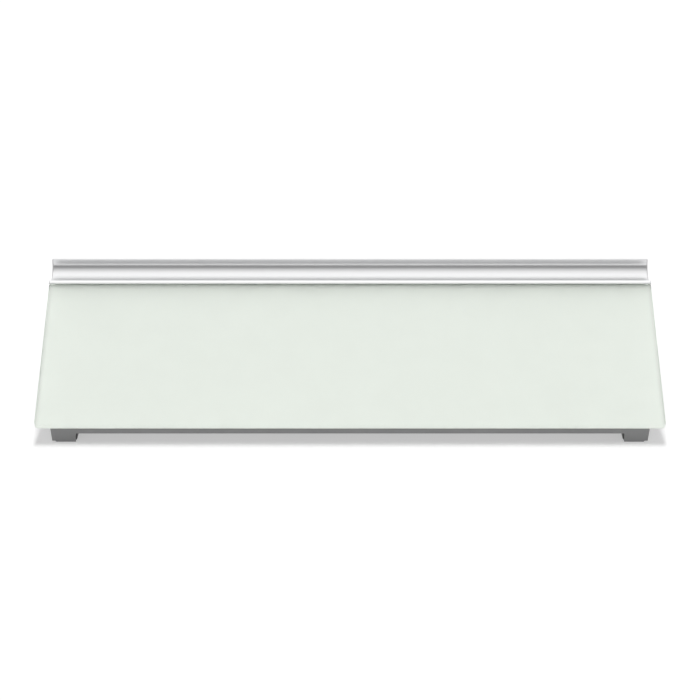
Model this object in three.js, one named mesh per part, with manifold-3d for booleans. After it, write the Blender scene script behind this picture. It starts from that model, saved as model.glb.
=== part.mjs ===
// Desktop writing board: a sheet of white-backed glass slopes up over a moulded plastic base, and an
// extruded aluminium rail along its top edge holds pens. Millimetres, X right, Y back, Z up.
// Y is drawn from the front edge of the glass, and the last lines centre the whole board.
import * as THREE from "three";
import { mergeVertices } from "three/addons/utils/BufferGeometryUtils.js";
import Module from "manifold-3d";

const wasm = await Module();
wasm.setup();

// Glass
const slopeDegrees = 27.6;
const glassWidth = 457.2;
const glassRun = 139.6;
const glassThickness = 4;
const glassCornerRadius = 3;
const glassSeam = 0.4;
const glassEdgeHeight = 11;

// Clearances
const layerGap = 0.2;
const seatGap = 0.3;
const screwGap = 0.2;
const overrun = 1;

// White coat and bonding tape
const coatThickness = 0.3;
const coatInset = 0.8;
const tapeThickness = 1;
const tapeWidth = 12;

// Deck
const apronSetback = 0.55;
const apronBottom = 6.9;
const coverInset = 0.7;
const coverClearance = 0.4;
const coverNotch = 2.3;
const deckWall = 2.2;
const deckFloor = 2.5;
const rimWidth = 2.2;
const ribDepth = 6;
const ribThickness = 1.6;
const ribRunIn = 10;
const ribCount = 9;
const crossRibCount = 3;
const flangeOverlap = 8;
const bossRadius = 3.6;
const bossLength = 9;
const gussetReach = 7;

// Legs
const footOverhang = 12.7;
const footWidth = 17.7;
const sideLeanDegrees = 7;
const legWall = 2.5;
const legClearance = 1.2;
const footLength = 24;
const archRise = 3;
const legRibThickness = 1.8;
const rearRibFoot = 24;

// Foot pads
const padThickness = 1.6;
const padLength = 19;
const padEndInset = 1.6;
const padInnerInset = 1.2;
const padOuterInset = 2.7;
const padCornerRadius = 2;
const padEdge = 0.3;

// Accessory rail
const lipCover = 2.1;
const lipThickness = 1.5;
const lipNose = 0.6;
const lipReach = 3.1;
const crestRound = 0.5;
const railWall = 1.5;
const coveRadius = 16;
const coveEndDegrees = 20;
const grooveDepth = 9.2;
const wallSetback = 2.8;
const grooveCorner = 2.6;
const wallHeight = 5.3;
const wallLeanDegrees = 9;
const wallTopThickness = 2.5;
const wallRootThickness = 4;
const wallTopRound = 0.7;
const skirtDrop = 21.7;
const skirtThickness = 2;
const capThickness = 0.8;
const capPegLength = 7;
const capPegInset = 0.4;

// Back panel
const panelThickness = 2;
const panelRibDepth = 4;
const panelRibThickness = 1.8;

// Screws
const screwRadius = 1.3;
const screwHeadRadius = 2.7;
const panHeadHeight = 1.8;
const flatHeadDepth = 1.4;
const screwTip = 1.2;
const railScrewMargin = 12.6;
const railScrewCount = 4;
const railScrewInset = 1.8;
const legScrewFront = 18;
const legScrewRear = 25.6;
const legScrewLength = 11;
const legScrewInset = 8.4;
const panelScrewLength = 8;
const panelScrewLow = 16;
const panelScrewMargin = 8.4;
const panelScrewRib = 2;

// Smoothness of the round forms
const cornerSteps = 4;
const coveSteps = 14;
const roundSides = 20;
const mergeTolerance = 1e-4;

// The slope: run goes up along the glass and rise stands square on it, both from the front arris.
const slope = THREE.MathUtils.degToRad(slopeDegrees);
const slopeCos = Math.cos(slope);
const slopeSin = Math.sin(slope);
const frontArrisHeight = glassEdgeHeight + glassThickness * slopeCos;
const onSlope = (run, rise) =>
  new THREE.Vector2(run * slopeCos - rise * slopeSin, frontArrisHeight + run * slopeSin + rise * slopeCos);
const runAt = (depth, rise) => (depth + rise * slopeSin) / slopeCos;
const slopePointAt = (depth, rise) => onSlope(runAt(depth, rise), rise);

// The layers under the glass, each as the rise of a face
const coatTop = -glassThickness - layerGap;
const coatBottom = coatTop - coatThickness;
const rimTop = coatBottom - layerGap;
const tapeBottom = rimTop - tapeThickness;
const deckTop = tapeBottom - layerGap;
const deckBottom = deckTop - deckFloor;

// The base stands in from the ends of the glass, and its sides lean out as they go up.
const footOuter = glassWidth / 2 - footOverhang;
const footInner = footOuter - footWidth;
const ribSpan = footInner - seatGap;
const sideLean = Math.tan(THREE.MathUtils.degToRad(sideLeanDegrees));
const sideAt = (height) => footOuter + height * sideLean;

// Solids
function solidOf(geometry) {
  const bare = geometry.clone();
  bare.deleteAttribute("normal");
  bare.deleteAttribute("uv");
  const merged = mergeVertices(bare, mergeTolerance);
  const mesh = new wasm.Mesh({
    numProp: 3,
    vertProperties: merged.attributes.position.array,
    triVerts: new Uint32Array(merged.index.array),
  });
  return new wasm.Manifold(mesh);
}

function geometryOf(solid) {
  const { vertProperties, triVerts } = solid.getMesh();
  const geometry = new THREE.BufferGeometry();
  geometry.setAttribute("position", new THREE.BufferAttribute(vertProperties, 3));
  geometry.setIndex(new THREE.BufferAttribute(triVerts, 1));
  const flat = geometry.toNonIndexed();
  flat.computeVertexNormals();
  return flat;
}

const joined = (solids) => solids.reduce((whole, next) => whole.add(next));
const without = (whole, cuts) => cuts.reduce((left, cut) => left.subtract(cut), whole);

// An outline with each corner softened by the radius that goes with it
function roundedPoints(corners) {
  return corners.flatMap(([corner, radius], index) => {
    if (!radius) return [corner];
    const [before] = corners[(index + corners.length - 1) % corners.length];
    const [after] = corners[(index + 1) % corners.length];
    const start = corner.clone().add(before.clone().sub(corner).setLength(radius));
    const end = corner.clone().add(after.clone().sub(corner).setLength(radius));
    return new THREE.QuadraticBezierCurve(start, corner, end).getPoints(cornerSteps);
  });
}

// A side outline in depth and height, drawn out across the board. Either end may follow the height.
function across(outline, from, to) {
  const shape = new THREE.Shape(outline);
  const geometry = new THREE.ExtrudeGeometry(shape, { depth: 1, bevelEnabled: false });
  const place = geometry.attributes.position;
  const endAt = (end, height) => (typeof end === "function" ? end(height) : end);
  for (let i = 0; i < place.count; i++) {
    const [depth, height, share] = [place.getX(i), place.getY(i), place.getZ(i)];
    const start = endAt(from, height);
    place.setXYZ(i, start + (endAt(to, height) - start) * share, depth, height);
  }
  return solidOf(geometry);
}

const mirrored = (solid) => solid.mirror([1, 0, 0]);

// A flat plate with round corners and a fine edge, from its outline's middle, standing on zero
function plate(width, length, thickness, cornerRadius, edge) {
  const shape = new THREE.Shape();
  const [x, y] = [width / 2, length / 2];
  const steps = [
    [x - cornerRadius, cornerRadius - y, -Math.PI / 2],
    [x - cornerRadius, y - cornerRadius, 0],
    [cornerRadius - x, y - cornerRadius, Math.PI / 2],
    [cornerRadius - x, cornerRadius - y, Math.PI],
  ];
  steps.forEach(([cx, cy, start]) => shape.absarc(cx, cy, cornerRadius, start, start + Math.PI / 2));
  const geometry = new THREE.ExtrudeGeometry(shape, {
    depth: thickness - 2 * edge,
    bevelEnabled: edge > 0,
    bevelThickness: edge,
    bevelSize: edge,
    bevelOffset: -edge,
    bevelSegments: 1,
    curveSegments: cornerSteps,
  });
  return geometry.translate(0, 0, edge);
}

// A turned form about the Z axis, from points of radius and height
function turned(points) {
  const profile = points.map(([radius, height]) => new THREE.Vector2(radius, height));
  return new THREE.LatheGeometry(profile, roundSides).rotateX(Math.PI / 2);
}

// A screw along Z with its tip up. The seat of a pan head and the face of a flat head lie at zero.
function panScrew(length) {
  return turned([
    [0, -panHeadHeight],
    [screwHeadRadius - panHeadHeight / 2, -panHeadHeight],
    [screwHeadRadius, -panHeadHeight / 2],
    [screwHeadRadius, 0],
    [screwRadius, 0],
    [screwRadius, length - screwTip],
    [0, length],
  ]);
}

function flatScrew(length) {
  return turned([
    [0, 0],
    [screwHeadRadius, 0],
    [screwRadius, flatHeadDepth],
    [screwRadius, length - screwTip],
    [0, length],
  ]);
}

// The hole that a flat screw passes through, open past its face
function flatScrewHole(length) {
  return turned([
    [0, -overrun],
    [screwHeadRadius + screwGap, -overrun],
    [screwHeadRadius + screwGap, 0],
    [screwRadius + screwGap, flatHeadDepth],
    [screwRadius + screwGap, length + screwGap],
    [0, length + screwGap],
  ]);
}

const plainHole = (radius, length) =>
  turned([
    [0, -overrun],
    [radius, -overrun],
    [radius, length],
    [0, length],
  ]);

const boss = (length) =>
  turned([
    [0, 0],
    [bossRadius, 0],
    [bossRadius, length],
    [0, length],
  ]);

// Turns a form along Z onto the slope, at a run and rise, pointing up or down through the glass
function onBoard(geometry, x, run, rise, down = false) {
  const { x: depth, y: height } = onSlope(run, rise);
  const tilted = geometry.clone();
  if (down) tilted.rotateX(Math.PI);
  return tilted.rotateX(slope).translate(x, depth, height);
}

// Turns a form along Z so that it points to the front, at a height and with its zero at a depth
const facingFront = (geometry, x, depth, height) =>
  geometry
    .clone()
    .rotateX(Math.PI / 2)
    .translate(x, depth, height);

// Materials
const glassMaterial = new THREE.MeshStandardMaterial({ color: 0xe6ede5, roughness: 0.12, metalness: 0 });
const coatMaterial = new THREE.MeshStandardMaterial({ color: 0xf1f4f0, roughness: 0.6, metalness: 0 });
const tapeMaterial = new THREE.MeshStandardMaterial({ color: 0xdadad6, roughness: 0.9, metalness: 0 });
const plasticMaterial = new THREE.MeshStandardMaterial({ color: 0x97999b, roughness: 0.6, metalness: 0 });
const legMaterial = new THREE.MeshStandardMaterial({ color: 0x4d4e50, roughness: 0.65, metalness: 0 });
const railMaterial = new THREE.MeshStandardMaterial({ color: 0xd9dadc, roughness: 0.35, metalness: 1 });
const capMaterial = new THREE.MeshStandardMaterial({ color: 0xb4b5b7, roughness: 0.5, metalness: 0 });
const rubberMaterial = new THREE.MeshStandardMaterial({ color: 0x3a3a3b, roughness: 0.9, metalness: 0 });
const screwMaterial = new THREE.MeshStandardMaterial({ color: 0x9a9c9f, roughness: 0.35, metalness: 1 });

const board = new THREE.Group();
function addPiece(name, form, material) {
  const geometry = form.isBufferGeometry ? form : geometryOf(form);
  const mesh = new THREE.Mesh(geometry, material);
  mesh.name = name;
  board.add(mesh);
}

// Glass panel: a sheet with round corners and ground arrises
const glassSheet = plate(glassWidth, glassRun, glassThickness, glassCornerRadius, glassSeam);
addPiece("glass_panel", onBoard(glassSheet, 0, glassRun / 2, -glassThickness), glassMaterial);

// White coat: covers the back of the glass, just short of its edges
const coatSheet = plate(
  glassWidth - 2 * coatInset,
  glassRun - 2 * coatInset,
  coatThickness,
  glassCornerRadius - coatInset,
  0,
);
addPiece("white_coat", onBoard(coatSheet, 0, glassRun / 2, coatBottom), coatMaterial);

// Accessory rail: lip, round groove, leaning back wall and rear skirt in one extrusion. The groove is one
// arc from the lip's crest to past its lowest point, and a small corner joins it to the wall.
const lipTop = layerGap + lipThickness;
const lipFront = glassRun - lipCover;
const webFront = glassRun + seatGap;
const coveRise = coveRadius - grooveDepth;
const crestAngle = Math.asin((coveRise - lipTop) / coveRadius);
const coveRun = lipFront + lipReach + coveRadius * Math.cos(crestAngle);
const coveEnd = 1.5 * Math.PI + THREE.MathUtils.degToRad(coveEndDegrees);
const railBottom = -grooveDepth - railWall;
const wallFoot = onSlope(
  coveRun + coveRadius * Math.cos(coveEnd) - wallSetback * Math.sin(coveEnd),
  coveRise + coveRadius * Math.sin(coveEnd) + wallSetback * Math.cos(coveEnd),
);
const wallShift = wallHeight * Math.tan(THREE.MathUtils.degToRad(wallLeanDegrees));
const wallFront = wallFoot.x - wallShift;
const wallTop = wallFoot.y + wallHeight;
const railBack = wallFoot.x + wallRootThickness;
const skirtFront = railBack - skirtThickness;
const skirtBottom = wallFoot.y - skirtDrop;

// Points on a circle about the cove's centre, from one angle to another
const coveArc = (radius, from, to) =>
  new THREE.EllipseCurve(coveRun, coveRise, radius, radius, from, to)
    .getPoints(coveSteps)
    .map((point) => onSlope(point.x, point.y));

const railCorners = [
  [onSlope(lipFront, layerGap), lipNose],
  [onSlope(lipFront, lipTop), lipNose],
  [onSlope(lipFront + lipReach, lipTop), crestRound],
  ...coveArc(coveRadius, Math.PI + crestAngle, coveEnd)
    .slice(1)
    .map((point) => [point, 0]),
  [wallFoot, grooveCorner],
  [new THREE.Vector2(wallFront, wallTop), wallTopRound],
  [new THREE.Vector2(wallFront + wallTopThickness, wallTop), wallTopRound],
  [new THREE.Vector2(railBack, wallFoot.y), 0],
  [new THREE.Vector2(railBack, skirtBottom), 0],
  [new THREE.Vector2(skirtFront, skirtBottom), 0],
  [slopePointAt(skirtFront, railBottom), 0],
  [onSlope(webFront, railBottom), 0],
  [onSlope(webFront, layerGap), 0],
];
const railOutline = roundedPoints(railCorners);

// The hollow between the web, the back of the cove and the bottom wall, drawn in by an inset
function chamberOutline(inset) {
  const radius = coveRadius + railWall + inset;
  const front = webFront + railWall + inset;
  const floor = railBottom + railWall + inset;
  const floorAngle = Math.PI + Math.asin((coveRise - floor) / radius);
  const webAngle = Math.PI + Math.acos((coveRun - front) / radius);
  return [onSlope(front, floor), ...coveArc(radius, webAngle, floorAngle)];
}

const railEnd = glassWidth / 2 - capThickness - layerGap;
const railScrewRun = webFront + railWall + railScrewInset;
const railScrewEnd = ribSpan - railScrewMargin;
const railScrewXs = Array.from(
  { length: railScrewCount },
  (_, index) => railScrewEnd * ((2 * index) / (railScrewCount - 1) - 1),
);
const ledgeTop = railBottom - seatGap;
const ledgeBottom = ledgeTop - deckFloor;
const railScrewLength = deckFloor + seatGap + railWall + screwTip;
const railScrewHole = plainHole(screwRadius + screwGap, railScrewLength + screwGap);
const railScrewHoles = railScrewXs.map((x) =>
  solidOf(onBoard(railScrewHole, x, railScrewRun, ledgeBottom)),
);
const railHollow = across(chamberOutline(0), -railEnd - overrun, railEnd + overrun);
addPiece(
  "accessory_rail",
  without(across(railOutline, -railEnd, railEnd), [railHollow, ...railScrewHoles]),
  railMaterial,
);

// Rail end caps: the rail's outline closed off, with a peg in its hollow
const capOuter = glassWidth / 2;
const capInner = capOuter - capThickness;
const capPeg = across(chamberOutline(capPegInset), capInner - capPegLength, capInner + capThickness / 2);
const rightCap = across(railOutline, capInner, capOuter).add(capPeg);
addPiece("rail_end_cap_right", rightCap, capMaterial);
addPiece("rail_end_cap_left", mirrored(rightCap), capMaterial);

railScrewXs.forEach((x, index) =>
  addPiece(
    `rail_screw_${index + 1}`,
    onBoard(panScrew(railScrewLength), x, railScrewRun, ledgeBottom - layerGap),
    screwMaterial,
  ),
);

// Deck: a tray under the glass with the front apron, a stepped ledge under the rail and a rear flange
const apronFront = glassThickness * slopeSin + apronSetback;
const apronBack = apronFront + deckWall;
const stepFront = glassRun - deckWall;
const flangeBack = skirtFront - seatGap;
const flangeFront = flangeBack - deckWall;
const flangeBottom = skirtBottom - flangeOverlap;
const rimRun = runAt(apronFront, rimTop);
const deckOutline = [
  new THREE.Vector2(apronFront, apronBottom),
  slopePointAt(apronFront, rimTop),
  onSlope(rimRun + rimWidth, rimTop),
  onSlope(rimRun + rimWidth, deckTop),
  onSlope(glassRun, deckTop),
  onSlope(glassRun, ledgeTop),
  slopePointAt(flangeBack, ledgeTop),
  new THREE.Vector2(flangeBack, flangeBottom),
  new THREE.Vector2(flangeFront, flangeBottom),
  slopePointAt(flangeFront, ledgeBottom),
  onSlope(stepFront, ledgeBottom),
  onSlope(stepFront, deckBottom),
  slopePointAt(apronBack, deckBottom),
  new THREE.Vector2(apronBack, apronBottom),
];
const deckBody = across(
  deckOutline,
  (height) => -sideAt(height),
  (height) => sideAt(height),
);

const sideRimOutline = [
  slopePointAt(apronFront, rimTop),
  onSlope(glassRun, rimTop),
  onSlope(glassRun, deckTop - deckFloor / 2),
  slopePointAt(apronFront, deckTop - deckFloor / 2),
];
const rightRim = across(
  sideRimOutline,
  (height) => sideAt(height) - rimWidth,
  (height) => sideAt(height),
);

// Ribs under the tray, running up the slope and across it, between the legs
const ribPitch = (2 * ribSpan) / (ribCount + 1);
const crossRibPitch = stepFront / (crossRibCount + 1);
const ribBottom = deckBottom - ribDepth;
const ribRoot = deckBottom + deckFloor / 2;
const ribOutline = [
  onSlope(runAt(apronBack, deckBottom), ribRoot),
  onSlope(runAt(apronBack, deckBottom), deckBottom),
  onSlope(runAt(apronBack, deckBottom) + ribRunIn, ribBottom),
  onSlope(stepFront, ribBottom),
  onSlope(stepFront, ribRoot),
];
const ribXs = Array.from({ length: ribCount }, (_, index) => (index - (ribCount - 1) / 2) * ribPitch);
const ribs = ribXs.map((x) => across(ribOutline, x - ribThickness / 2, x + ribThickness / 2));
const crossRibs = Array.from({ length: crossRibCount }, (_, index) => {
  const run = (index + 1) * crossRibPitch;
  const outline = [
    onSlope(run, ribRoot),
    onSlope(run + ribThickness, ribRoot),
    onSlope(run + ribThickness, ribBottom),
    onSlope(run, ribBottom),
  ];
  return across(outline, -ribSpan, ribSpan);
});

// In front of each leg the apron goes on down as a cover, notched at its outer corner.
const coverInner = footInner + coverInset;
const coverTop = slopePointAt(apronBack, ribRoot);
const coverBetween = (bottom, outer) =>
  across(
    [
      new THREE.Vector2(apronFront, bottom),
      new THREE.Vector2(apronBack, bottom),
      coverTop,
      new THREE.Vector2(apronFront, coverTop.y),
    ],
    coverInner,
    outer,
  );
const rightCover = coverBetween(legClearance, sideAt).add(
  coverBetween(coverClearance, footOuter - coverNotch),
);

// Gussets stiffen the corner between the ledge and the rear flange.
const gussetTop = slopePointAt(flangeFront, ledgeBottom);
const gussetOutline = [
  new THREE.Vector2(flangeFront + deckWall / 2, gussetTop.y),
  new THREE.Vector2(flangeFront + deckWall / 2, gussetTop.y - gussetReach * 2),
  new THREE.Vector2(flangeFront, gussetTop.y - gussetReach * 2),
  slopePointAt(flangeFront - gussetReach, ledgeBottom),
  slopePointAt(flangeFront - gussetReach, ledgeBottom + deckFloor / 2),
];
const gussets = ribXs.map((x) => across(gussetOutline, x - ribThickness / 2, x + ribThickness / 2));

// Leg screws go down through the tray, and their flat heads end level with its floor.
const legScrewX = footInner + legScrewInset;
const legScrewBack = glassRun - legScrewRear;
const legScrewPlaces = [
  ["front", legScrewFront],
  ["middle", (legScrewFront + legScrewBack) / 2],
  ["rear", legScrewBack],
];
const legScrewHole = (x, run) => solidOf(onBoard(flatScrewHole(legScrewLength), x, run, deckTop, true));
const legScrewHoles = [-legScrewX, legScrewX].flatMap((x) =>
  legScrewPlaces.map(([, run]) => legScrewHole(x, run)),
);

// Screws that hold the back panel: two in each leg and two in the deck's rear flange
const panelFront = railBack - panelThickness;
const panelScrewTop = (skirtBottom + flangeBottom) / 2;
const panelScrewHigh = flangeBottom - panelScrewMargin;
const panelScrewMiddleX = panelScrewRib * ribPitch;
const panelScrewPlaces = [
  ["left_low", -legScrewX, panelScrewLow],
  ["left_high", -legScrewX, panelScrewHigh],
  ["right_low", legScrewX, panelScrewLow],
  ["right_high", legScrewX, panelScrewHigh],
  ["middle_left", -panelScrewMiddleX, panelScrewTop],
  ["middle_right", panelScrewMiddleX, panelScrewTop],
];
const panelScrewHoles = panelScrewPlaces.map(([, x, height]) =>
  solidOf(facingFront(flatScrewHole(panelScrewLength), x, railBack, height)),
);
const flangeBosses = [-panelScrewMiddleX, panelScrewMiddleX].map((x) =>
  solidOf(facingFront(boss(bossLength), x, flangeBack, panelScrewTop)),
);
const deckSolid = joined([
  deckBody,
  rightRim,
  mirrored(rightRim),
  rightCover,
  mirrored(rightCover),
  ...ribs,
  ...crossRibs,
  ...gussets,
  ...flangeBosses,
]);
addPiece(
  "deck",
  without(deckSolid, [...railScrewHoles, ...legScrewHoles, ...panelScrewHoles]),
  plasticMaterial,
);

// Bonding tape: two long strips and two end strips between the coat and the tray
const tapeStart = rimRun + rimWidth + seatGap;
const tapeEnd = glassRun - coatInset;
const tapeHalf = sideAt(onSlope(tapeStart, deckTop).y) - rimWidth - seatGap;
const longTape = plate(2 * tapeHalf, tapeWidth, tapeThickness, layerGap, 0);
const endTapeRun = tapeEnd - tapeStart - 2 * (tapeWidth + layerGap);
const endTape = plate(tapeWidth, endTapeRun, tapeThickness, layerGap, 0);
const endTapeX = tapeHalf - tapeWidth / 2;
const tapeMiddle = (tapeStart + tapeEnd) / 2;
const tapes = {
  bond_tape_front: onBoard(longTape, 0, tapeStart + tapeWidth / 2, tapeBottom),
  bond_tape_rear: onBoard(longTape, 0, tapeEnd - tapeWidth / 2, tapeBottom),
  bond_tape_left: onBoard(endTape, -endTapeX, tapeMiddle, tapeBottom),
  bond_tape_right: onBoard(endTape, endTapeX, tapeMiddle, tapeBottom),
};
Object.entries(tapes).forEach(([name, form]) => addPiece(name, form, tapeMaterial));

// Legs: hollow wedges under the two ends of the deck, each with a front and a rear foot
const legFront = apronBack + seatGap;
const legBack = flangeBack;
const legTop = deckBottom - seatGap;
const legLedge = ledgeBottom - seatGap;
const footEnd = legFront + footLength;
const rearFoot = legBack - footLength;
const archTop = legClearance + archRise;
const legOutline = [
  new THREE.Vector2(legFront, legClearance),
  slopePointAt(legFront, legTop),
  onSlope(stepFront - seatGap, legTop),
  onSlope(stepFront - seatGap, legLedge),
  slopePointAt(flangeFront - seatGap, legLedge),
  new THREE.Vector2(flangeFront - seatGap, flangeBottom - seatGap),
  new THREE.Vector2(legBack, flangeBottom - seatGap),
  new THREE.Vector2(legBack, legClearance),
  new THREE.Vector2(rearFoot, legClearance),
  new THREE.Vector2(rearFoot - archRise, archTop),
  new THREE.Vector2(footEnd + archRise, archTop),
  new THREE.Vector2(footEnd, legClearance),
];

const padRecess = padThickness + layerGap - legClearance;
const hollowFront = legFront + legWall;
const hollowBack = legBack - legWall;
const hollowStep = stepFront - seatGap - legWall;
const hollowTop = legTop - legWall;
const hollowLedge = legLedge - legWall;
const hollowFloor = legClearance + padRecess + legWall;
const hollowShelf = flangeFront - seatGap - legWall;
const hollowShelfHeight = flangeBottom - seatGap - legWall;
const hollowOutline = [
  new THREE.Vector2(footEnd, -overrun),
  new THREE.Vector2(footEnd, hollowFloor),
  new THREE.Vector2(hollowFront, hollowFloor),
  slopePointAt(hollowFront, hollowTop),
  onSlope(hollowStep, hollowTop),
  onSlope(hollowStep, hollowLedge),
  slopePointAt(hollowShelf, hollowLedge),
  new THREE.Vector2(hollowShelf, hollowShelfHeight),
  new THREE.Vector2(hollowBack, hollowShelfHeight),
  new THREE.Vector2(hollowBack, hollowFloor),
  new THREE.Vector2(rearFoot, hollowFloor),
  new THREE.Vector2(rearFoot, -overrun),
];
const legHollow = across(hollowOutline, footInner + legWall, (height) => sideAt(height) - legWall);

// A rib stands behind each leg screw, halfway to the next one or to the step under the rail. The last rib
// stops high, so that the rear foot's hollow stays open.
const legStops = [
  ...legScrewPlaces.map(([, run]) => onSlope(run, legTop).x),
  onSlope(hollowStep, hollowTop).x,
];
const legRibs = legScrewPlaces.map((_, index) => {
  const front = (legStops[index] + legStops[index + 1] - legRibThickness) / 2;
  const back = front + legRibThickness;
  const foot = index === legScrewPlaces.length - 1 ? rearRibFoot : archTop;
  const top = hollowTop + legWall / 2;
  const outline = [
    new THREE.Vector2(front, foot),
    new THREE.Vector2(back, foot),
    slopePointAt(back, top),
    slopePointAt(front, top),
  ];
  return across(outline, footInner + legWall / 2, (height) => sideAt(height) - legWall / 2);
});

// Bosses under the leg's top take the leg screws, and bosses on its back wall the panel screws.
const legTopBosses = legScrewPlaces.map(([, run]) =>
  solidOf(onBoard(boss(bossLength), legScrewX, run, legTop, true)),
);
const legBackBosses = [panelScrewLow, panelScrewHigh].map((height) =>
  solidOf(facingFront(boss(bossLength), legScrewX, legBack, height)),
);

// Foot pads, and the shallow recesses that they sit in
const padWidth = sideAt(legClearance) - padOuterInset - footInner - padInnerInset;
const padX = footInner + padInnerInset + padWidth / 2;
const padDepths = {
  front: legFront + padEndInset + padLength / 2,
  rear: legBack - padEndInset - padLength / 2,
};
const pad = plate(padWidth, padLength, padThickness, padCornerRadius, padEdge);
const padSeat = plate(
  padWidth + 2 * layerGap,
  padLength + 2 * layerGap,
  padThickness + layerGap + overrun,
  padCornerRadius + layerGap,
  0,
);
const padSeats = Object.values(padDepths).map((depth) =>
  solidOf(padSeat.clone().translate(padX, depth, -overrun)),
);

const legShell = without(across(legOutline, footInner, sideAt), [legHollow]);
const rightLeg = without(joined([legShell, ...legRibs, ...legTopBosses, ...legBackBosses]), [
  ...legScrewHoles,
  ...panelScrewHoles,
  ...padSeats,
]);
addPiece("right_leg", rightLeg, legMaterial);
addPiece("left_leg", mirrored(rightLeg), legMaterial);

Object.entries(padDepths).forEach(([end, depth]) => {
  addPiece(`foot_pad_${end}_left`, pad.clone().translate(-padX, depth, 0), rubberMaterial);
  addPiece(`foot_pad_${end}_right`, pad.clone().translate(padX, depth, 0), rubberMaterial);
});

legScrewPlaces.forEach(([place, run]) => {
  const screw = flatScrew(legScrewLength);
  addPiece(`leg_screw_left_${place}`, onBoard(screw, -legScrewX, run, deckTop, true), screwMaterial);
  addPiece(`leg_screw_right_${place}`, onBoard(screw, legScrewX, run, deckTop, true), screwMaterial);
});

// Back panel: a plain cover level with the rail's skirt, stiffened by a rib and a bottom return
const panelTop = skirtBottom - layerGap;
const panelRibHeight = (apronBottom + panelTop) / 2;
const panelOutline = [
  new THREE.Vector2(panelFront, apronBottom),
  new THREE.Vector2(railBack, apronBottom),
  new THREE.Vector2(railBack, panelTop),
  new THREE.Vector2(panelFront, panelTop),
];
const panelRibAt = (height) =>
  across(
    [
      new THREE.Vector2(panelFront - panelRibDepth, height),
      new THREE.Vector2(panelFront + panelThickness / 2, height),
      new THREE.Vector2(panelFront + panelThickness / 2, height + panelRibThickness),
      new THREE.Vector2(panelFront - panelRibDepth, height + panelRibThickness),
    ],
    -ribSpan,
    ribSpan,
  );
const panelPlate = across(
  panelOutline,
  (height) => -sideAt(height),
  (height) => sideAt(height),
);
const panelSolid = joined([panelPlate, panelRibAt(apronBottom), panelRibAt(panelRibHeight)]);
addPiece("back_panel", without(panelSolid, panelScrewHoles), plasticMaterial);

panelScrewPlaces.forEach(([place, x, height]) =>
  addPiece(
    `panel_screw_${place}`,
    facingFront(flatScrew(panelScrewLength), x, railBack, height),
    screwMaterial,
  ),
);

// The board's frame has its origin on the desk, under the middle of its length and depth.
const foremost = glassSeam * slopeSin;
board.position.y = -(foremost + railBack) / 2;
const part = new THREE.Group();
part.add(board);
export default part;
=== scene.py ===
import math
import bmesh
import bpy
from mathutils import Euler, Matrix, Vector


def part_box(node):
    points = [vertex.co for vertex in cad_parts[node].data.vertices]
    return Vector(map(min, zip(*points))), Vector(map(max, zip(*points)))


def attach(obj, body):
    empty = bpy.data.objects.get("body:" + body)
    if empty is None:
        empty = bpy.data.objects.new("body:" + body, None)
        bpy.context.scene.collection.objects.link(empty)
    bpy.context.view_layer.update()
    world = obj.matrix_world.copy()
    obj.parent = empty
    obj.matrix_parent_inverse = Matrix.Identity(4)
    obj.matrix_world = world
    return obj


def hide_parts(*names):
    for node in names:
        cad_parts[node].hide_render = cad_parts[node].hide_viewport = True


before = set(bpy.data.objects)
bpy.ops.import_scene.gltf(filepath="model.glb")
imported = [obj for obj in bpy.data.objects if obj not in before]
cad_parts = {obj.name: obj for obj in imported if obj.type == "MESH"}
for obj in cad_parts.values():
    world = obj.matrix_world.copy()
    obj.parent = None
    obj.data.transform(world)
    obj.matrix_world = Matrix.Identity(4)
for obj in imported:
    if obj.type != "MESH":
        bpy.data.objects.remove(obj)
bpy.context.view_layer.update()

# Legs
# Two hollow wedges carry the board at its slope. They are moulded in charcoal plastic with a fine spark
# texture, and the mould leaves each edge slightly round.
leg_edge = 0.00035
charcoal = (0.08, 0.081, 0.083)
flow_spread = 0.04
pattern_low = 0.35
pattern_high = 0.65
weld_distance = 2e-6
flat_within = math.radians(0.5)
rounded_from = math.radians(35)
rounding_steps = 2


def start_finish(name, colour, roughness, metallic=0.0):
    """A material with one principled shader."""
    material = bpy.data.materials.new(name)
    material.use_nodes = True
    shader = material.node_tree.nodes["Principled BSDF"]
    shader.inputs["Base Color"].default_value = (*colour, 1.0)
    shader.inputs["Roughness"].default_value = roughness
    shader.inputs["Metallic"].default_value = metallic
    return material


def grain(material, scale, detail=2.0, stretch=(1.0, 1.0, 1.0)):
    """A noise in the object's own coordinates. A low stretch draws it out along that axis."""
    nodes = material.node_tree.nodes
    links = material.node_tree.links
    place = nodes.new("ShaderNodeTexCoord")
    stretched = nodes.new("ShaderNodeMapping")
    stretched.inputs["Scale"].default_value = stretch
    noise = nodes.new("ShaderNodeTexNoise")
    noise.inputs["Scale"].default_value = scale
    noise.inputs["Detail"].default_value = detail
    links.new(place.outputs["Object"], stretched.inputs["Vector"])
    links.new(stretched.outputs["Vector"], noise.inputs["Vector"])
    return noise.outputs["Fac"]


def tone(material, pattern, dark, light):
    """Lets a pattern shade the colour between two tones."""
    nodes = material.node_tree.nodes
    links = material.node_tree.links
    ramp = nodes.new("ShaderNodeValToRGB")
    ramp.color_ramp.elements[0].position = pattern_low
    ramp.color_ramp.elements[0].color = (*dark, 1.0)
    ramp.color_ramp.elements[1].position = pattern_high
    ramp.color_ramp.elements[1].color = (*light, 1.0)
    links.new(pattern, ramp.inputs["Fac"])
    links.new(ramp.outputs["Color"], nodes["Principled BSDF"].inputs["Base Color"])


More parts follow.
